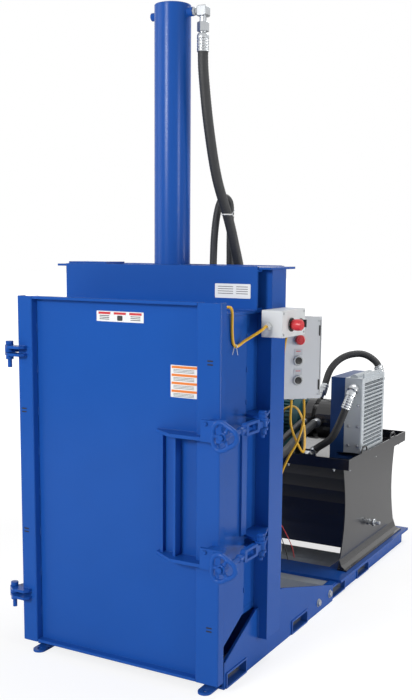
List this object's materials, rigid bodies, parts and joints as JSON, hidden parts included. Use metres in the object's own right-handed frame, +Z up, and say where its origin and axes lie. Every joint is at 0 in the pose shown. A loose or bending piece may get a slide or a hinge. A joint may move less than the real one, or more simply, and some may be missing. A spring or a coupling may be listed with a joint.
{
  "type": "hydraulic drum crusher",
  "caption": "Hydraulic drum crusher: a steel chamber with a latched front door, an overhead ram and platen, and a skid-mounted power unit behind.",
  "frame": {"origin": "on the floor under the ram's axis", "axes": "+Z up along the ram, -Y out through the door, +X towards the latches"},
  "size_m": [1.0375, 2.217, 2.375],
  "materials": {
    "blue_paint": "gloss powder coat",
    "galvanised_tube": "zinc coated, lightly ribbed",
    "polished_rod": "hard chromed and ground",
    "black_paint": "satin paint",
    "motor_green": "satin paint",
    "shroud_navy": "satin paint",
    "cooler_aluminium": "bead-blasted",
    "grey_enclosure": "fine textured paint",
    "plated_fitting": "zinc plated",
    "red_plastic": "moulded gloss",
    "black_plastic": "moulded matt",
    "hose_rubber": "wrapped rubber cover",
    "yellow_cable": "satin sheath"
  },
  "bodies": {
    "frame": {"base_side_left": "blue_paint", "base_side_right": "blue_paint", "chamber_bed": "blue_paint", "chamber_shell": "blue_paint", "front_post_left": "blue_paint", "front_post_right": "blue_paint", "column_left": "blue_paint", "column_right": "blue_paint", "chamber_roof": "blue_paint", "header_front_channel": "blue_paint", "header_rear_channel": "blue_paint", "header_top_plate": "blue_paint", "header_doubler": "blue_paint", "ram_barrel": "blue_paint", "hinge_pin_lower": "blue_paint", "hinge_pin_upper": "blue_paint", "latch_bracket_lower": "blue_paint", "latch_bracket_upper": "blue_paint", "skid_frame": "blue_paint", "fork_tube_1": "galvanised_tube", "fork_tube_2": "galvanised_tube", "fork_tube_3": "galvanised_tube", "fork_tube_4": "galvanised_tube", "oil_tank": "black_paint", "tank_lid": "black_paint", "pump_housing": "black_paint", "tank_breather": "black_paint", "motor": "motor_green", "fan_shroud": "shroud_navy", "oil_cooler": "cooler_aluminium", "enclosure_body": "grey_enclosure", "enclosure_arm": "grey_enclosure", "pendant_box": "grey_enclosure", "ram_elbow": "plated_fitting", "drain_valve": "plated_fitting", "hose_main": "hose_rubber", "hose_return": "hose_rubber", "cooler_hose_lower": "hose_rubber", "cooler_hose_upper": "hose_rubber", "pendant_cable": "yellow_cable", "control_cable": "yellow_cable", "motor_cable": "yellow_cable", "supply_cable": "yellow_cable", "supply_conductors": "yellow_cable"},
    "door": {"door_panel": "blue_paint", "hinge_stile": "blue_paint", "latch_stile": "blue_paint", "latch_frame": "blue_paint"},
    "ram": {"ram_rod": "polished_rod", "platen": "blue_paint"},
    "latch_lower": {"swing_bolt_lower": "blue_paint"},
    "latch_upper": {"swing_bolt_upper": "blue_paint"},
    "wheel_lower": {"handwheel_lower": "blue_paint"},
    "wheel_upper": {"handwheel_upper": "blue_paint"},
    "control_lid": {"enclosure_lid": "grey_enclosure"},
    "estop": {"estop_button": "red_plastic"},
    "start": {"start_button": "black_plastic"},
    "stop": {"stop_button": "black_plastic"},
    "mushroom": {"pendant_mushroom": "red_plastic"},
    "selector": {"pendant_selector": "black_plastic"}
  },
  "joints": [
    {"name": "door_swing", "type": "hinge", "parent": "frame", "child": "door", "pos_m": [-0.457, -0.39, 0], "axis": [0, 0, -1], "range_deg": [0, 110]},
    {"name": "ram_stroke", "type": "slide", "parent": "frame", "child": "ram", "axis": [0, 0, -1], "range_m": [0, 0.76]},
    {"name": "latch_swing_lower", "type": "hinge", "parent": "frame", "child": "latch_lower", "pos_m": [0.487, -0.215, 0.5], "axis": [0, 0, 1], "range_deg": [0, 165]},
    {"name": "wheel_spin_lower", "type": "hinge", "parent": "latch_lower", "child": "wheel_lower", "pos_m": [0.487, -0.493, 0.5], "axis": [0, 1, 0], "continuous": true},
    {"name": "latch_swing_upper", "type": "hinge", "parent": "frame", "child": "latch_upper", "pos_m": [0.487, -0.215, 0.928], "axis": [0, 0, 1], "range_deg": [0, 165]},
    {"name": "wheel_spin_upper", "type": "hinge", "parent": "latch_upper", "child": "wheel_upper", "pos_m": [0.487, -0.493, 0.928], "axis": [0, 1, 0], "continuous": true},
    {"name": "control_lid_swing", "type": "hinge", "parent": "frame", "child": "control_lid", "pos_m": [0.38871, 0.52571, 1.075], "axis": [0, 0, 1], "range_deg": [0, 110]},
    {"name": "estop_press", "type": "slide", "parent": "control_lid", "child": "estop", "axis": [-0.7071, 0.7071, 0], "range_m": [0, 0.005], "stiffness_N_per_m": 600},
    {"name": "start_press", "type": "slide", "parent": "control_lid", "child": "start", "axis": [-0.7071, 0.7071, 0], "range_m": [0, 0.005], "stiffness_N_per_m": 600},
    {"name": "stop_press", "type": "slide", "parent": "control_lid", "child": "stop", "axis": [-0.7071, 0.7071, 0], "range_m": [0, 0.005], "stiffness_N_per_m": 600},
    {"name": "mushroom_press", "type": "slide", "parent": "frame", "child": "mushroom", "axis": [-1, 0, 0], "range_m": [0, 0.005], "stiffness_N_per_m": 600},
    {"name": "selector_turn", "type": "hinge", "parent": "frame", "child": "selector", "pos_m": [0.5195, 0.012, 1.25385], "axis": [1, 0, 0], "range_deg": [-45, 45]}
  ],
  "couplings": [
    {"joint": "latch_swing_lower", "follows": "door_swing", "ratio": 1.5},
    {"joint": "latch_swing_upper", "follows": "door_swing", "ratio": 1.5}
  ]
}
